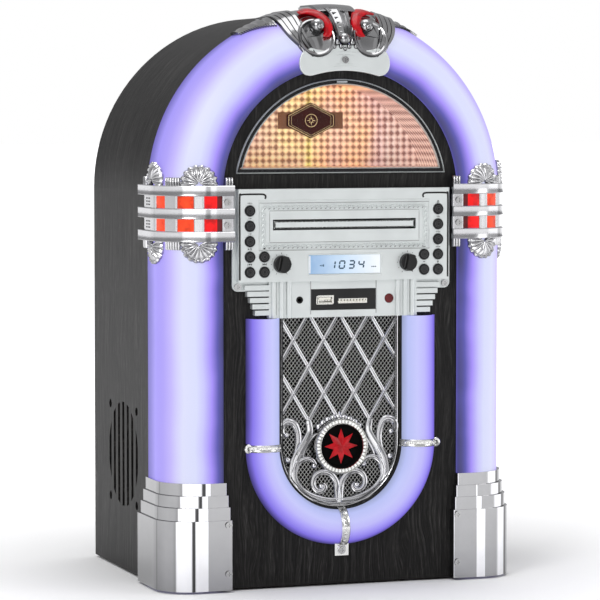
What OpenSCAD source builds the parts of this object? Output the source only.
// Tabletop jukebox: arched cabinet, light-up tubes, CD drawer and side speakers.
// Millimetres. X runs to the right, Y from front to back and Z up. The origin is the
// centre of the whole object's box, on the surface that the jukebox stands on.

/* [Cabinet] */
// Width of the cabinet between its side faces
body_w = 306; // [300:1:312]
// Height of the top of the cabinet's arch
body_h = 490; // [486:1:520]
// Depth from the front board's face to the back
body_d = 233; // [225:1:260]
// How far the knobs stand in front of the front board
front_overhang = 19; // [19:0.5:24]
// Height of the rubber pads under the base
pad_h = 2; // [1:0.5:4]
// Thickness of the bent shell
shell_t = 9; // [6:0.5:11]
// Thickness of the front board
baffle_t = 9; // [6:0.5:10]
// Thickness of the back panel
back_t = 6; // [4:0.5:8]
// Thickness of the base board
base_t = 12; // [9:1:14]

/* [Light tubes] */
// Width of the corner tubes, seen from the front
tube_w = 48.8; // [46:0.1:50]
// How far the corner tubes stand out from the cabinet's side
tube_proud = 2; // [1:0.5:3]
// How far the corner tubes stand in front of the front board
tube_front = 6.5; // [5:0.5:8]
// Radius of the corner tubes' round corner
tube_corner = 40; // [34:1:42]
// Length of the tubes' wrap along the cabinet's side, from the front board's face
tube_wrap = 56; // [54:1:60]
// Wall of all the tubes
tube_t = 2; // [1.5:0.25:2.5]
// Radius of the U tube's bend, at the middle of the tube
u_bend_r = 70.7; // [70:0.1:72]
// Radius of the U tube's cross-section
u_tube_r = 15.4; // [14.5:0.1:16]
// Height of the centre of the U tube's bend
u_bend_z = 121; // [118:1:124]

/* [Dome] */
// Outer radius of the dome's trim ring
dome_r = 97.3; // [94:0.1:99]
// Height of the dome's flat lower edge above the arch's centre
dome_flat = 16; // [12:1:20]
// Depth of the lit recess behind the dome's window
dome_depth = 46; // [30:1:46]

/* [Control panel] */
// Half of the panel's width
panel_hw = 95; // [93:0.5:96]
// How far the panel's face stands in front of the front board
panel_front = 9.6; // [9:0.1:11]
// Diameter of the push buttons
button_d = 8.9; // [8:0.1:9.5]
// Travel of the push buttons
button_travel = 1; // [0.6:0.1:1.2]
// Radius of the two rotary knobs
knob_r = 7.3; // [7:0.1:8]
// Width of the CD drawer's front
tray_w = 126.6; // [125:0.1:127]
// Height of the CD drawer's front
tray_h = 6.6; // [6:0.1:7]
// Radius of a compact disc's pocket in the drawer
disc_r = 60.5; // [60.5:0.1:61]

/* [Feet and collars] */
// Height of the top of the chrome feet
foot_h = 93; // [90:1:96]
// Wall of the feet's and collars' plated mouldings
trim_t = 2.3; // [1.8:0.1:2.5]
// Height of each of the collars' ribs
rib_h = 8.7; // [8:0.1:9]
// Distance between the collars' ribs
rib_pitch = 19.25; // [19:0.05:20]

/* [Speakers] */
// Height of the speakers' axis
speaker_z = 103.8; // [100:0.1:110]
// Distance of the speakers' axis behind the front board's face
speaker_back = 139.7; // [130:0.1:145]
// Radius of the round field of vent slots
vent_r = 46; // [42:1:46]
// Half of the distance between a speaker's screws
speaker_hole = 41.2; // [40:0.1:42]

/* [Hidden] */
$fn = 96;
gap = 0.3;
over = 1;
half_w = body_w / 2;
arch_z = body_h - half_w;
total_d = body_d + front_overhang;
face_y = -total_d / 2 + front_overhang;
back_y = total_d / 2;
baffle_back = face_y + baffle_t;
shell_y = face_y + tube_wrap;
wood_hw = half_w - 41;
channel_t = 2;

tube_out = half_w + tube_proud;
tube_in = tube_out - tube_w;
tube_y = face_y - tube_front;
collar_z = arch_z - 17.2;
tube_inner_corner = 5;
u_tube_sink = 3.4;

panel_top = arch_z + 3.3;
panel_bottom = panel_top - 78.3;
bezel_bottom = panel_top - 109.3;
panel_y = face_y - panel_front;
panel_wall = 2.5;
bezel_y = face_y - 6;
button_x = 85;
inner_button_x = 72.2;
button_pitch = 12.93;
button_top = panel_top - 18.2;
knob_x = 56.9;
knob_z = panel_top - 63.5;
lcd_w = 64.4;
lcd_h = 15.8;
lcd_z = panel_top - 64.3;
tray_z = panel_top - 30.3;
tray_depth = 165;
disc_y = panel_y + 72;
insert_w = 59.2;
insert_h = 17.6;
insert_z = panel_top - 94.3;
usb_x = -15.6;
card_x = 8.75;
jack_x = -39.5;
ir_x = 41.5;
socket_z = insert_z;
card_z = socket_z - 1.5;
jack_r = 1.8;
board_y = panel_y + 12.6;
board_t = 1.6;

speaker_y = face_y + speaker_back;
floor_z = pad_h;
base_top = pad_h + base_t;
medallion_z = u_bend_z - 1.2;
grille_hw = u_bend_r - u_tube_r - 1.3;
screw_head_r = 2.9;
screw_r = 1.5;

// Buttons: name, place across the panel, row from the top
BUTTONS = [
    ["eq_button", -button_x, 0], ["folder_button", -button_x, 1],
    ["repeat_button", -button_x, 2], ["play_button", -button_x, 3],
    ["previous_button", -button_x, 4], ["stop_button", -inner_button_x, 3],
    ["next_button", -inner_button_x, 4], ["eject_button", button_x, 0],
    ["band_button", button_x, 1], ["clock_button", button_x, 2],
    ["mode_button", button_x, 3], ["volume_up_button", button_x, 4],
    ["standby_button", inner_button_x, 3], ["volume_down_button", inner_button_x, 4]];

// Chrome screws with their heads facing forward: x, y under the head, z, length
crown_y = tube_y - gap;
crown_plate_t = 3;
clip_t = 2;
clip_screw = 4.4;
FRONT_SCREWS = concat(
    [for (s = [-1, 1], z = [16, 57.5]) [s * 104, tube_y - 3, z, 14]],
    [for (s = [-1, 1], k = [-0.5, 0.5]) [s * 104.4, tube_y - 2.6, collar_z + k * rib_pitch, 14]],
    [for (s = [-1, 1]) [s * 93.9, face_y - 2.5, panel_bottom - 4.2, 8]],
    [[0, face_y - clip_t, u_bend_z - u_bend_r - u_tube_r - clip_screw, 8]],
    [[0, crown_y - crown_plate_t, arch_z + 112, crown_plate_t - 0.1]]);
speaker_screw_in = 6.4;
SPEAKER_CORNERS = [for (y = [-1, 1], z = [-1, 1]) [speaker_y + y * speaker_hole, speaker_z + z * speaker_hole]];
back_screw_r = half_w - shell_t - 7;
BACK_SCREWS = concat(
    [for (s = [-1, 1], z = [22, 125, 230, arch_z]) [s * back_screw_r, z]],
    [for (a = [45, 90, 135]) [back_screw_r * cos(a), arch_z + back_screw_r * sin(a)]]);

// ---------- shared shapes ----------

// A front-view outline made into a slab that runs back from y
module slab(y, t) {
    translate([0, y + t, 0]) rotate([90, 0, 0]) linear_extrude(t) children();
}

// A rod along +Y from a point
module rod_y(at, r, h) {
    translate(at) rotate([-90, 0, 0]) cylinder(r = r, h = h);
}

// A rod along +X from a point
module rod_x(at, r, h) {
    translate(at) rotate([0, 90, 0]) cylinder(r = r, h = h);
}

// A block given by its middle across X and Z, its front face and its size
module block(x, y, z, size) {
    translate([x - size[0] / 2, y, z - size[2] / 2]) cube(size);
}

// Front-view outline of a round-topped arch
module arch2d(r, bottom) {
    translate([0, arch_z]) circle(r);
    translate([-r, bottom]) square([2 * r, arch_z - bottom]);
}

// Front-view outline of the dome: a circle cut flat near its middle
module dome2d(r, flat) {
    intersection() {
        translate([0, arch_z]) circle(r);
        translate([-r, arch_z + flat]) square([2 * r, r]);
    }
}

// Front-view outline of a U with a round bottom, up to a given height
module u2d(r, top) {
    translate([0, u_bend_z]) circle(r);
    translate([-r, u_bend_z]) square([2 * r, top - u_bend_z]);
}

// The quarter of a disc that lies toward +X and the front
module quarter2d(r) {
    intersection() {
        circle(r);
        translate([0, -r]) square(r);
    }
}

// Plan outline of a front corner on the right: x grows outward and y backward. Only the
// two front corners are round, the outer one widely.
module corner2d(x_in, x_out, front, back, r_out, r_in) {
    translate([x_out - r_out, front + r_out]) quarter2d(r_out);
    translate([x_in + r_in, front + r_in]) mirror([1, 0]) quarter2d(r_in);
    translate([x_in + r_in, front]) square([x_out - r_out - x_in - r_in, back - front]);
    translate([x_in, front + r_in]) square([x_out - r_out - x_in, back - front - r_in]);
    translate([x_in, front + r_out]) square([x_out - x_in, back - front - r_out]);
}

// The corner tubes' outline, grown by d
module tube2d(d) {
    corner2d(tube_in - d, tube_out + d, tube_y - d, shell_y + d, tube_corner + d, tube_inner_corner + d);
}

// The open-backed cross-section of a corner tube
module tube_section2d() {
    difference() {
        tube2d(0);
        corner2d(tube_in + tube_t, tube_out - tube_t, tube_y + tube_t, shell_y + over,
            tube_corner - tube_t, tube_inner_corner - tube_t);
        translate([tube_in - over, face_y]) square([tube_w / 2, tube_wrap + over]);
    }
}

// A corner outline stood up between two heights, on one side
module post(side, bottom, top) {
    mirror([side < 0 ? 1 : 0, 0, 0]) translate([0, 0, bottom]) linear_extrude(top - bottom) children();
}

// A corner outline swept round the arch between two angles from the right
module arch_sweep(from, to) {
    translate([0, 0, arch_z]) rotate([90, 0, 0]) rotate_extrude(angle = to - from, start = from)
        mirror([0, 1]) children();
}

// Cuts for the shanks of the chrome screws
module screw_holes() {
    for (s = FRONT_SCREWS)
        rod_y([s[0], s[1] - over, s[2]], screw_r + 0.1, s[3] + over);
}

// ---------- cabinet ----------

module cabinet_shell() {
    slot_pitch = 13.9;
    slot_w = 6.5;
    cleat = 12;
    color("#2c2b2c") difference() {
        union() {
            difference() {
                slab(shell_y, back_y - shell_y) arch2d(half_w, floor_z);
                slab(shell_y - over, back_y - shell_y + 2 * over) arch2d(half_w - shell_t, floor_z - over);
            }
            difference() {
                slab(back_y - back_t - cleat, cleat) arch2d(half_w - shell_t, base_top);
                slab(back_y - back_t - cleat - over, cleat + 2 * over)
                    arch2d(half_w - shell_t - cleat, base_top - over);
            }
        }
        intersection() {
            rod_x([-half_w - over, speaker_y, speaker_z], vent_r, body_w + 2 * over);
            for (i = [-3:3])
                translate([-half_w - over, speaker_y + i * slot_pitch - slot_w / 2, speaker_z - vent_r])
                    cube([body_w + 2 * over, slot_w, 2 * vent_r]);
        }
        for (c = SPEAKER_CORNERS) {
            rod_x([-half_w - over, c[0], c[1]], screw_r + 0.2, body_w + 2 * over);
            for (x = [-half_w - over, half_w - speaker_screw_in])
                rod_x([x, c[0], c[1]], 3.75, speaker_screw_in + over);
        }
        for (s = BACK_SCREWS)
            rod_y([s[0], back_y - back_t - cleat + 2, s[1]], screw_r + 0.1, cleat);
    }
}

module base_board() {
    inner = half_w - shell_t;
    nose = half_w - 56;
    color("#4a4038") translate([0, 0, floor_z]) linear_extrude(base_t) union() {
        translate([-inner, shell_y]) square([2 * inner, back_y - back_t - shell_y]);
        translate([-nose, baffle_back]) square([2 * nose, shell_y - baffle_back]);
    }
}

module front_baffle() {
    color("#2a292a") difference() {
        slab(face_y, baffle_t) arch2d(wood_hw, floor_z);
        slab(face_y - over, baffle_t + 2 * over) dome2d(dome_r - 3.3, dome_flat + 3);
        slab(face_y - over, baffle_t + 2 * over)
            translate([-panel_hw + 3, panel_bottom + 2]) square([2 * panel_hw - 6, 72]);
        slab(face_y - over, baffle_t + 2 * over) u2d(grille_hw, panel_bottom + 3);
        screw_holes();
    }
}

module back_panel() {
    r = half_w - shell_t - gap;
    color("#353334") difference() {
        slab(back_y - back_t, back_t) arch2d(r, floor_z);
        for (s = BACK_SCREWS) {
            rod_y([s[0], back_y - back_t - over, s[1]], screw_r + 0.1, back_t + 2 * over);
            rod_y([s[0], back_y - 2, s[1]], screw_head_r + 0.2, 2 + over);
        }
        for (i = [-4:4], row = [0, 1])
            block(i * 12, back_y - back_t - over, 200 + row * 150, [5, back_t + 2 * over, 46]);
        block(inlet_x, back_y - back_t - over, inlet_z, [inlet_w + 0.4, back_t + 2 * over, inlet_h + 0.4]);
    }
}

module foot_pads() {
    color("#1b1b1b") for (p = [[-84, -76], [84, -76], [-124, 98], [124, 98]])
        translate([p[0], p[1], 0]) cylinder(r = 10, h = pad_h);
}

// A pan-head screw pointing back, with a cross slot
module screw(x, y, z, length) {
    head_h = 1.5;
    slot_l = 3.4;
    color("silver") difference() {
        union() {
            rod_y([x, y - head_h, z], screw_head_r, head_h);
            rod_y([x, y - 0.1, z], screw_r, length);
        }
        block(x, y - head_h - over, z, [slot_l, over + 0.8, 0.7]);
        block(x, y - head_h - over, z, [0.7, over + 0.8, slot_l]);
    }
}

module screws() {
    for (s = FRONT_SCREWS)
        screw(s[0], s[1], s[2], s[3]);
    for (s = BACK_SCREWS)
        mirror([0, 1, 0]) screw(s[0], -back_y + 1.9, s[1], 12);
    for (c = SPEAKER_CORNERS, side = [-1, 1])
        translate([side * (half_w - speaker_screw_in), 0, 0]) rotate([0, 0, side * 90])
            translate([side * c[0], 0, 0]) screw(0, 0, c[1], 7);
}

// ---------- light tubes ----------

module light_channel() {
    color("white") {
        difference() {
            slab(baffle_back, shell_y - baffle_back) arch2d(wood_hw, floor_z);
            slab(baffle_back - over, shell_y - baffle_back + 2 * over) arch2d(wood_hw - channel_t, floor_z - over);
        }
        difference() {
            slab(shell_y - channel_t, channel_t) arch2d(half_w - gap, floor_z);
            slab(shell_y - channel_t - over, channel_t + 2 * over) arch2d(wood_hw, floor_z - over);
        }
    }
}

module led_strips() {
    strip = 10;
    strip_t = 1.4;
    mid = (wood_hw + half_w) / 2;
    color("#dfe3ff") {
        difference() {
            slab(shell_y - channel_t - strip_t, strip_t) arch2d(mid + strip / 2, foot_h);
            slab(shell_y - channel_t - strip_t - over, strip_t + 2 * over) arch2d(mid - strip / 2, foot_h - over);
        }
        difference() {
            slab(face_y - strip_t, strip_t) u2d(u_bend_r + strip / 2, bezel_bottom - 2);
            slab(face_y - strip_t - over, strip_t + 2 * over) u2d(u_bend_r - strip / 2, bezel_bottom);
        }
    }
}

module arch_tube() {
    color("#a99bff") {
        arch_sweep(0, 180) tube_section2d();
        for (side = [-1, 1])
            post(side, collar_z, arch_z) tube_section2d();
    }
}

module pillar_tube(side) {
    color("#a99bff") post(side, foot_h - 26, collar_z - gap) tube_section2d();
}

// Cross-section of the U tube, standing on the front board: x across, y forward
module u_section2d() {
    difference() {
        translate([0, -u_tube_sink]) circle(u_tube_r);
        translate([0, -u_tube_sink]) circle(u_tube_r - tube_t);
        translate([-u_tube_r - over, -2 * u_tube_r]) square([2 * u_tube_r + 2 * over, 2 * u_tube_r]);
    }
}

module u_tube() {
    color("#9fa4ff") {
        translate([0, face_y, u_bend_z]) rotate([90, 0, 0]) rotate_extrude(angle = 180, start = 180)
            translate([u_bend_r, 0]) u_section2d();
        for (side = [-1, 1])
            translate([side * u_bend_r, face_y, u_bend_z]) mirror([0, 1, 0])
                linear_extrude(bezel_bottom - gap - u_bend_z) u_section2d();
    }
}

// One clip: a band bent over the U tube, with a foot at each end
module tube_clip(foot_l, band_w) {
    outer = u_tube_r + gap;
    translate([0, face_y, -band_w / 2]) difference() {
        union() {
            translate([0, u_tube_sink, 0]) cylinder(r = outer + clip_t, h = band_w);
            translate([0, -clip_t, 0]) cube([outer + foot_l, clip_t, band_w]);
            translate([-outer - 4, -clip_t, 0]) cube([outer, clip_t, band_w]);
        }
        translate([0, u_tube_sink, -over]) cylinder(r = outer, h = band_w + 2 * over);
        translate([-2 * outer, 0, -over]) cube([4 * outer, 2 * outer, band_w + 2 * over]);
        rod_y([u_tube_r + clip_screw, -clip_t - over, band_w / 2], screw_r + 0.1, clip_t + 2 * over);
    }
}

module tube_clips() {
    color("silver") {
        translate([u_bend_r, 0, u_bend_z]) tube_clip(2.5, 9);
        translate([-u_bend_r, 0, u_bend_z]) mirror([1, 0, 0]) tube_clip(2.5, 9);
        translate([0, 0, u_bend_z - u_bend_r]) rotate([0, 90, 0]) tube_clip(10, 9);
    }
}

// ---------- feet and collars ----------

// The foot's steps: top height, then how far it stands out at the inner edge, the
// outside, the front and the back, against the tube
FOOT_STEPS = [
    [foot_h, 1.3, 1.5, 1.0, 3], [foot_h - 10.5, 2.8, 3, 1.7, 5.5],
    [foot_h - 20.5, 4.2, 4.5, 2.4, 8], [foot_h - 31.5, 5.7, 6, 3, 13]];

module foot_outline2d(step, inset) {
    corner2d(tube_in - step[1] + inset, tube_out + step[2] - inset, tube_y - step[3] + inset,
        shell_y + step[4] - inset, tube_corner - 3 * step[3] - inset, 1);
}

// What the cabinet takes out of a corner moulding: the front board and the shell
module cabinet_corner2d() {
    translate([-over, face_y]) square([wood_hw + gap + over, body_d]);
    translate([-over, shell_y - channel_t - gap]) square([half_w + gap + over, body_d]);
}

module foot(side) {
    base = FOOT_STEPS[3];
    color("silver") difference() {
        for (step = FOOT_STEPS)
            post(side, floor_z, step[0]) foot_outline2d(step, 0);
        post(side, base[0] - trim_t, foot_h + over) tube2d(gap);
        post(side, floor_z - over, base[0] - trim_t) foot_outline2d(base, trim_t);
        post(side, floor_z - over, foot_h + over) cabinet_corner2d();
        screw_holes();
    }
}

module collar_band2d(out, back) {
    corner2d(tube_in - 7.5, tube_out + out, tube_y - out, shell_y + back, tube_corner + out, 1);
}

// Windows in a collar: angle round the corner from the side, and width
COLLAR_WINDOWS = [[14, 11], [52.5, 14], [90, 15]];

module collar(side) {
    reach = 32;
    shell_r = 15;
    color("silver") difference() {
        union() {
            post(side, collar_z - reach, collar_z + reach) collar_band2d(2.6, 2);
            for (k = [-1:1])
                post(side, collar_z + k * rib_pitch - rib_h / 2, collar_z + k * rib_pitch + rib_h / 2)
                    collar_band2d(5, 13);
            for (a = [0, 71], k = [-1, 1])
                mirror([side < 0 ? 1 : 0, 0, 0])
                    translate([tube_out - tube_corner, tube_y + tube_corner, collar_z + k * (reach - 4)])
                        rotate([0, 90, -a]) translate([0, 0, tube_corner + gap]) cylinder(r = shell_r, h = 4);
        }
        post(side, collar_z - reach - 20, arch_z) tube2d(gap);
        arch_sweep(side > 0 ? 0 : 150, side > 0 ? 30 : 180) tube2d(gap);
        post(side, collar_z - reach - 20, collar_z + reach + 20) cabinet_corner2d();
        for (w = COLLAR_WINDOWS, k = [-0.5, 0.5])
            mirror([side < 0 ? 1 : 0, 0, 0])
                translate([tube_out - tube_corner, tube_y + tube_corner, collar_z + k * rib_pitch])
                    rotate([0, 0, -w[0]]) translate([tube_corner - 2, -w[1] / 2, -5.25])
                        cube([12, w[1], 10.5]);
        screw_holes();
    }
}

module collar_lenses() {
    lens_t = 1.6;
    back = 6;
    color("red") for (side = [-1, 1], w = COLLAR_WINDOWS, k = [-0.5, 0.5])
        intersection() {
            mirror([side < 0 ? 1 : 0, 0, 0])
                translate([tube_out - tube_corner, tube_y + tube_corner, collar_z + k * rib_pitch])
                    rotate([0, 0, -w[0]]) translate([tube_corner - 2, -w[1] / 2 + 0.1, -5.15])
                        cube([12, w[1] - 0.2, 10.3]);
            difference() {
                post(side, collar_z - rib_pitch, collar_z + rib_pitch) tube2d(gap + lens_t);
                post(side, collar_z - rib_pitch - over, collar_z + rib_pitch + over) tube2d(gap);
            }
        }
}

// ---------- crown ----------

volute_x = 23.9;
volute_z = arch_z + 131.5;
volute_r = 15.6;
eye_x = 21.8;
eye_z = arch_z + 140.5;
eye_r = 6;
eye_y = tube_y + 6.5;
plate_cut_r = 103.5;
pocket_lift = 2.6;
lens_lift = pocket_lift + gap;

// A stretch of a ring round the arch, with the corner tube's outline grown by d
module arch_ring(from, to, d, x_in) {
    arch_sweep(from, to)
        corner2d(x_in, tube_out + d, tube_y - d, shell_y - gap, tube_corner + d, 1);
}

// A front-view outline laid over the arch tube, d thick above the tube
module draped(d) {
    intersection() {
        arch_ring(55, 125, d, tube_in - 10);
        slab(-total_d / 2, total_d / 2) children();
    }
}

// One jewel's outline: a hook that curls round an eye
module jewel2d(s, grow) {
    inner = eye_r + 1.6 - grow;
    outer = eye_r + 8.3 + grow;
    translate([s * eye_x, eye_z]) mirror([s < 0 ? 1 : 0, 0]) difference() {
        intersection() {
            circle(outer);
            polygon([[0, 0], [30, 35 + 2 * grow], [-30, 35], [-30, -30], [-14 + 2 * grow, -30]]);
        }
        circle(inner);
    }
}

module crown_casting() {
    $fn = 48;
    color("silver") difference() {
        union() {
            draped(3.3) translate([0, arch_z]) polygon([
                [-42, 110], [-38, 119], [38, 119], [42, 110], [35, 98.5], [-35, 98.5]]);
            draped(6.5) translate([0, arch_z])
                polygon([[-16, 160.5], [16, 160.5], [6, 118], [-6, 118]]);
            for (s = [-1, 1]) {
                draped(5.5) translate([s * volute_x, volute_z]) circle(volute_r);
                translate([s * eye_x, eye_y, eye_z]) sphere(eye_r);
            }
            translate([0, tube_y - 4, arch_z + 130]) sphere(6.2);
            arch_ring(62, 118, 3, tube_in + 22);
        }
        for (s = [-1, 1]) difference() {
            slab(-total_d / 2, total_d / 2) jewel2d(s, gap);
            arch_ring(50, 130, pocket_lift, tube_in - 20);
        }
        slab(-total_d / 2, total_d / 2) translate([0, arch_z]) circle(plate_cut_r);
        slab(face_y - gap, total_d / 2) translate([0, arch_z]) circle(tube_in);
        arch_sweep(0, 180) tube2d(gap);
        screw_holes();
    }
}

module crown_lenses() {
    color("red") for (s = [-1, 1]) difference() {
        draped(lens_lift + 3) jewel2d(s, 0);
        arch_ring(50, 130, lens_lift, tube_in - 20);
    }
}

// ---------- dome ----------

module dome_trim() {
    color("silver") difference() {
        slab(face_y - 3, 3) dome2d(dome_r, dome_flat);
        slab(face_y - 3 - over, 3 + 2 * over) dome2d(dome_r - 4.5, dome_flat + 4);
    }
}

module dome_window() {
    color("#ffffff40") slab(face_y + 0.2, 1.5) dome2d(dome_r - 3.6, dome_flat + 3.3);
}

module dome_reflector() {
    wall = 1.5;
    r = dome_r - 4;
    front = face_y + 1.9;
    color("#d9a184") difference() {
        slab(front, dome_depth) dome2d(r, dome_flat + 3.6);
        slab(front - over, dome_depth - wall + over) dome2d(r - wall, dome_flat + 3.6 + wall);
    }
}

module badge() {
    y = face_y + 1.9 + dome_depth - 1.5;
    z = arch_z + 60.5;
    color("#3a1d14") {
        slab(y - 2.5, 2) translate([-11.5, z])
            polygon([[-22, 5], [0, 15], [22, 5], [22, -5], [0, -15], [-22, -5]]);
        slab(y - 1, 1) translate([-11.5, z]) square([59, 14], center = true);
    }
}

// ---------- control panel ----------

module button_row_places() {
    for (b = BUTTONS)
        translate([b[1], 0, button_top - b[2] * button_pitch]) children();
}

module bezel_wing(side) {
    tiers = 5;
    tier_h = 4.2;
    tier_pitch = 5.35;
    for (i = [0:tiers - 1])
        translate([side > 0 ? 60 : -(88.5 - 2.3 * i), bezel_y, panel_bottom - 7 - i * tier_pitch])
            cube([28.5 - 2.3 * i, face_y - bezel_y, tier_h]);
}

module control_panel() {
    flange_t = 2.5;
    bezel_hw = 67;
    color("#c4c8c7") difference() {
        union() {
            slab(panel_y, panel_front) translate([-panel_hw, panel_bottom]) square([2 * panel_hw, panel_top - panel_bottom]);
            slab(face_y - flange_t, flange_t) union() {
                translate([-panel_hw - 3.5, panel_bottom - 3]) square([2 * panel_hw + 7, panel_top - panel_bottom + 3]);
                translate([-panel_hw + 1.5, panel_bottom - 8]) square([2 * panel_hw - 3, 6]);
                for (s = [-1, 1]) translate([s * (panel_hw - 1.5), panel_bottom - 3]) circle(5);
            }
            slab(bezel_y, face_y - bezel_y)
                translate([-bezel_hw, bezel_bottom]) square([2 * bezel_hw, panel_bottom - bezel_bottom + 1]);
            for (s = [-1, 1]) {
                bezel_wing(s);
                for (x = [49.2, 56, 62.8])
                    translate([s * x, bezel_y, bezel_bottom]) cylinder(r = 2.2, h = panel_bottom - bezel_bottom);
            }
        }
        // hollow back of the panel and of the bezel
        slab(panel_y + panel_wall, panel_front)
            translate([-panel_hw + 3, panel_bottom + 2]) square([2 * panel_hw - 6, panel_top - panel_bottom - 5]);
        slab(bezel_y + panel_wall, 10)
            translate([-46, bezel_bottom + 3]) square([92, panel_bottom - bezel_bottom]);
        // openings
        button_row_places() rod_y([0, panel_y - over, 0], button_d / 2 + gap, panel_wall + 2 * over);
        for (s = [-1, 1])
            rod_y([s * knob_x, panel_y - over, knob_z], 3.6, panel_wall + 2 * over);
        block(0, panel_y - over, lcd_z, [lcd_w + 0.4, panel_wall + 2 * over, lcd_h + 0.4]);
        block(0, panel_y - over, tray_z, [tray_w + 2.4, panel_wall + 2 * over, tray_h + 2.4]);
        block(0, bezel_y - over, insert_z, [insert_w + 0.4, panel_wall + 2 * over, insert_h + 0.4]);
        rod_y([jack_x, bezel_y - over, socket_z], 3.1, panel_wall + 2 * over);
        rod_y([ir_x, bezel_y - over, socket_z], 4.1, panel_wall + 2 * over);
        screw_holes();
    }
}

module control_board() {
    switch_front = panel_y + 11.6;
    pot_front = panel_y + 5;
    lcd_front = panel_y + panel_wall + gap;
    color("#1f5a38") difference() {
        union() {
            block(0, board_y, panel_top - 39.8, [2 * panel_hw - 8, board_t, 68]);
            button_row_places() block(0, switch_front, 0, [6, board_y - switch_front, 6]);
            for (s = [-1, 1])
                rod_y([s * knob_x, pot_front, knob_z], 6.2, board_y - pot_front);
            block(0, lcd_front, lcd_z, [lcd_w + 4, board_y - lcd_front, lcd_h + 3]);
        }
        block(0, board_y - over, tray_z, [tray_w + 4, board_t + 2 * over, tray_h + 4]);
        for (s = [-1, 1])
            rod_y([s * knob_x, pot_front - over, knob_z], 3.05, board_y - pot_front + board_t + 2 * over);
    }
}

module lcd_window() {
    color("#cfe6fb") block(0, panel_y + 0.4, lcd_z, [lcd_w, 1.6, lcd_h]);
}

module media_insert() {
    color("#17181a") difference() {
        block(0, bezel_y + 0.3, insert_z, [insert_w, 2, insert_h]);
        block(usb_x, bezel_y - over, socket_z, [14.8, 5, 7.4]);
        block(card_x, bezel_y - over, card_z, [26.4, 5, 4.4]);
    }
}

module media_board() {
    mouth_y = bezel_y + 0.9;
    color("silver") {
        difference() {
            block(usb_x, mouth_y, socket_z, [14.4, 14, 7]);
            block(usb_x, mouth_y - over, socket_z, [12.6, 10, 5.2]);
        }
        block(usb_x, mouth_y + 1, socket_z + 1, [11, 12, 1.8]);
        difference() {
            block(card_x, mouth_y, card_z, [26, 20, 4]);
            block(card_x, mouth_y - over, card_z, [24.4, 17, 2.4]);
        }
        block(-1, mouth_y + 6, socket_z - 4.2, [50, 18, 1.6]);
    }
}

module aux_jack() {
    color("#2a2a2c") difference() {
        union() {
            rod_y([jack_x, bezel_y - 0.3, socket_z], 3, 5);
            block(jack_x, bezel_y + 3.4, socket_z, [8, 12, 8]);
        }
        rod_y([jack_x, bezel_y - over, socket_z], jack_r, 14 + over - 0.3);
    }
}

module ir_window() {
    color("#7a1a1a") rod_y([ir_x, bezel_y - 0.6, socket_z], 3.9, 4);
}

module push_button(x, row) {
    z = button_top - row * button_pitch;
    color("#1d1d1f") {
        rod_y([x, panel_y - 1.4, z], button_d / 2, 1.4 + panel_wall + gap);
        rod_y([x, panel_y + panel_wall + gap, z], button_d / 2 + 0.9, 1);
        rod_y([x, panel_y + panel_wall + gap + 1, z], 1.6, 11.6 - panel_wall - gap - 1 - button_travel - gap);
    }
}

module rotary_knob(x) {
    bar_angle = 12;
    bar_front = -total_d / 2;
    base_front = panel_y - 4.6;
    color("#1d1d1f") {
        rod_y([x, base_front, knob_z], knob_r, 4.2);
        translate([x, 0, knob_z]) rotate([0, bar_angle, 0]) intersection() {
            block(0, bar_front, 0, [5.4, base_front - bar_front + 1, 2 * knob_r]);
            rod_y([0, bar_front, 0], knob_r - 0.2, 8);
        }
        rod_y([x, panel_y - 0.5, knob_z], 3, 11);
    }
}

// ---------- CD drive ----------

module cd_tray() {
    tray_t = 4;
    color("#222326") difference() {
        translate([-62, panel_y + 3.4, tray_z - 2]) cube([124, tray_depth, tray_t]);
        translate([0, disc_y, tray_z + 0.4]) cylinder(r = disc_r, h = tray_t);
        translate([0, disc_y, tray_z - 2 - over]) cylinder(r = 17, h = tray_t + 2 * over);
        translate([-17, disc_y, tray_z - 2 - over]) cube([34, 50, tray_t + 2 * over]);
    }
}

module tray_front() {
    color("#c4c8c7") block(0, panel_y, tray_z, [tray_w, 3.4, tray_h]);
}

module cd_loader() {
    inside_w = 125.4;
    front = baffle_back;
    color("#8b8d90") difference() {
        union() {
            translate([-74, front, tray_z - 14]) cube([148, 158, 34]);
            translate([-100, front, tray_z - 14]) cube([200, 2.5, 34]);
            translate([0, disc_y, tray_z - 28]) cylinder(r = 13, h = 14);
        }
        translate([-inside_w / 2, front - over, tray_z - 4]) cube([inside_w, 156, 19]);
        translate([-50, disc_y + 30, tray_z + 10]) cube([100, 200, 20]);
        translate([0, disc_y, tray_z - 7]) cylinder(r = 16, h = 7);
        translate([0, disc_y, tray_z - 24]) cylinder(r = 1.55, h = 20);
    }
}

module cd_spindle() {
    color("#3c3e42") {
        translate([0, disc_y, tray_z - 5.5]) cylinder(r = 14, h = 2.5);
        translate([0, disc_y, tray_z - 23]) cylinder(r = 1.5, h = 18);
    }
}

// ---------- grille ----------

module grille_frame() {
    y = face_y + 4;
    t = 3;
    border = 3;
    diamond_w = 27.7;
    diamond_h = 46;
    top = bezel_bottom + 6;
    lean = atan(diamond_w / diamond_h);
    color("silver") {
        difference() {
            slab(y, t) u2d(grille_hw - gap, top);
            slab(y - over, t + 2 * over) u2d(grille_hw - gap - border, top - border);
        }
        intersection() {
            slab(y, t) u2d(grille_hw - gap, top);
            for (i = [-4:4], s = [-1, 1])
                translate([i * diamond_w, y + t / 2, 210]) rotate([0, s * lean, 0])
                    cube([2.2, t, 320], center = true);
        }
    }
}

module grille_mesh() {
    color("#26262a") slab(face_y + 7.2, 0.8) u2d(grille_hw - gap, bezel_bottom + 6);
}

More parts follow.
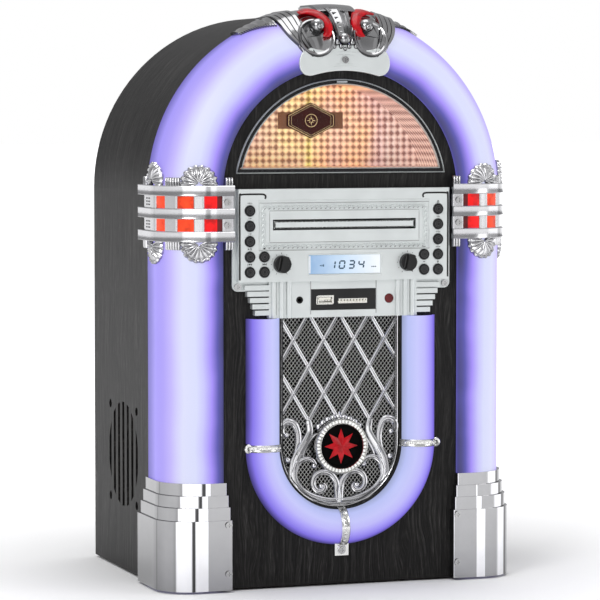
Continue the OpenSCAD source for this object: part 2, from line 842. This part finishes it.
module medallion_bezel() {
    color("silver") {
        difference() {
            rod_y([0, face_y - 3.5, medallion_z], 24, 7.5);
            rod_y([0, face_y - 4.5, medallion_z], 18.6, 4);
        }
    }
}

module star_gem() {
    points = 8;
    color("#b5121f") slab(face_y - 3, 2.5) translate([0, medallion_z])
        polygon([for (i = [0:2 * points - 1])
            (i % 2 == 0 ? 16 : 7.5) * [sin(i * 180 / points), cos(i * 180 / points)]]);
}

// ---------- inside ----------

module speaker(side) {
    x0 = half_w - shell_t;
    frame = 101;
    basket = 24;
    color("#3b3b3e") mirror([side < 0 ? 1 : 0, 0, 0]) translate([x0, speaker_y, speaker_z]) rotate([0, -90, 0])
        difference() {
            union() {
                translate([-frame / 2, -frame / 2, 0]) cube([frame, frame, 3]);
                translate([0, 0, 3]) cylinder(r1 = 48, r2 = 34, h = basket);
                translate([0, 0, 3 + basket]) cylinder(r = 38, h = 14);
            }
            translate([0, 0, -0.01]) cylinder(r1 = 45, r2 = 14, h = basket);
            for (a = [-1, 1], b = [-1, 1])
                translate([a * speaker_hole, b * speaker_hole, -over]) cylinder(r = 2, h = 5);
        }
}

module main_board() {
    z = base_top + 6;
    color("#1f5a38") {
        translate([-72, -40, z]) cube([144, 92, board_t]);
        for (x = [-66, 66], y = [-34, 46])
            translate([x, y, base_top]) cylinder(r = 3, h = 6);
        translate([-40, 30, z + board_t]) cube([70, 14, 30]);
        for (x = [-50, -20, 10])
            translate([x, -10, z + board_t]) cylinder(r = 8, h = 25);
    }
}

module transformer() {
    color("#8a6a3a") {
        translate([-78, 64, base_top]) cube([57, 36, 48]);
        translate([-68, 58, base_top + 8]) cube([37, 48, 32]);
        translate([-87, 76, base_top]) cube([75, 12, 2]);
    }
}

inlet_x = -90;
inlet_z = 52;
inlet_w = 30;
inlet_h = 17;

module mains_inlet() {
    depth = 20;
    color("#19191b") {
        difference() {
            block(inlet_x, back_y - depth, inlet_z, [inlet_w, depth, inlet_h]);
            for (s = [-1, 1])
                rod_y([inlet_x + s * 4.3, back_y - 13, inlet_z], 4.2, 13 + over);
            block(inlet_x, back_y - 13, inlet_z, [8.6, 13 + over, 8.4]);
        }
        for (s = [-1, 1])
            rod_y([inlet_x + s * 4.3, back_y - 13, inlet_z], 1.2, 9);
    }
}

cabinet_shell();
base_board();
front_baffle();
back_panel();
screws();
foot_pads();
light_channel();
led_strips();
arch_tube();
pillar_tube(-1);  // pillar_tube_left
pillar_tube(1);  // pillar_tube_right
u_tube();
tube_clips();
collar(-1);  // collar_left
collar(1);  // collar_right
collar_lenses();
foot(-1);  // foot_left
foot(1);  // foot_right
crown_casting();
crown_lenses();
dome_trim();
dome_window();
dome_reflector();
badge();
control_panel();
control_board();
lcd_window();
media_insert();
media_board();
aux_jack();
ir_window();
cd_tray();
tray_front();
cd_loader();
cd_spindle();
rotary_knob(-knob_x);  // power_knob
rotary_knob(knob_x);  // light_knob
push_button(-button_x, 0);  // eq_button
push_button(-button_x, 1);  // folder_button
push_button(-button_x, 2);  // repeat_button
push_button(-button_x, 3);  // play_button
push_button(-button_x, 4);  // previous_button
push_button(-inner_button_x, 3);  // stop_button
push_button(-inner_button_x, 4);  // next_button
push_button(button_x, 0);  // eject_button
push_button(button_x, 1);  // band_button
push_button(button_x, 2);  // clock_button
push_button(button_x, 3);  // mode_button
push_button(button_x, 4);  // volume_up_button
push_button(inner_button_x, 3);  // standby_button
push_button(inner_button_x, 4);  // volume_down_button
grille_frame();
grille_mesh();
medallion_bezel();
star_gem();
speaker(-1);  // speaker_left
speaker(1);  // speaker_right
main_board();
transformer();
mains_inlet();
